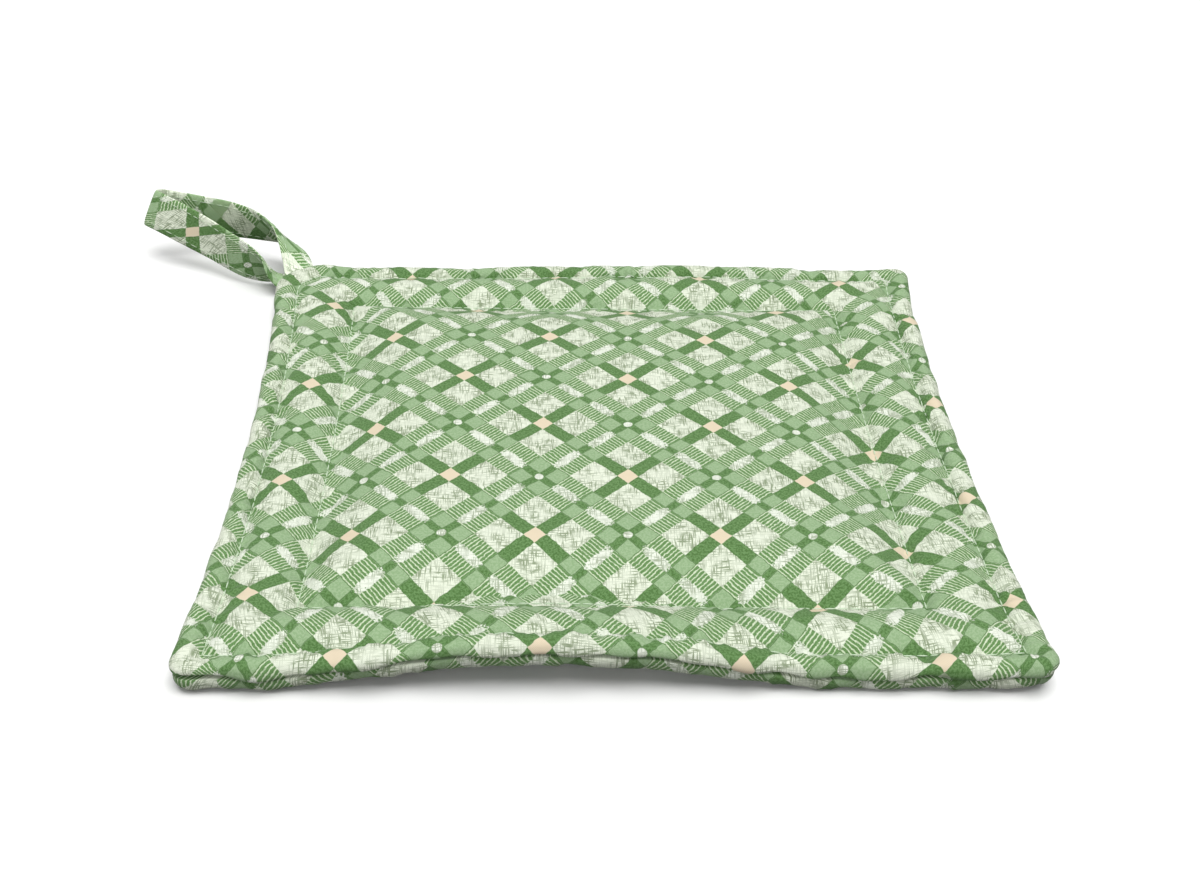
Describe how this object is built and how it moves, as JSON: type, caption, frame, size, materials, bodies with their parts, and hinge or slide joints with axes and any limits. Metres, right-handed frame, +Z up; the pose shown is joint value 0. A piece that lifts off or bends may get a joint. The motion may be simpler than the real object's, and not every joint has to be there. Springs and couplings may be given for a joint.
{
  "type": "quilted pot holder",
  "caption": "Square quilted cotton pot holder, padded between stitched lines, lying flat with a fabric hanging loop at one back corner.",
  "frame": {"origin": "middle of the sewn square, on the flat underside that rests on the surface", "axes": "+Z up through the thickness, +X to the right along the front edge, +Y to the back; the loop leaves the corner at -X +Y"},
  "size_m": [0.2558, 0.2286, 0.024],
  "materials": {
    "front_cotton": "matt printed cotton",
    "back_cotton": "matt printed cotton",
    "loop_cotton": "matt printed cotton"
  },
  "bodies": {
    "root": {"front_panel": "front_cotton", "back_panel": "back_cotton", "hanging_loop": "loop_cotton"}
  },
  "joints": []
}
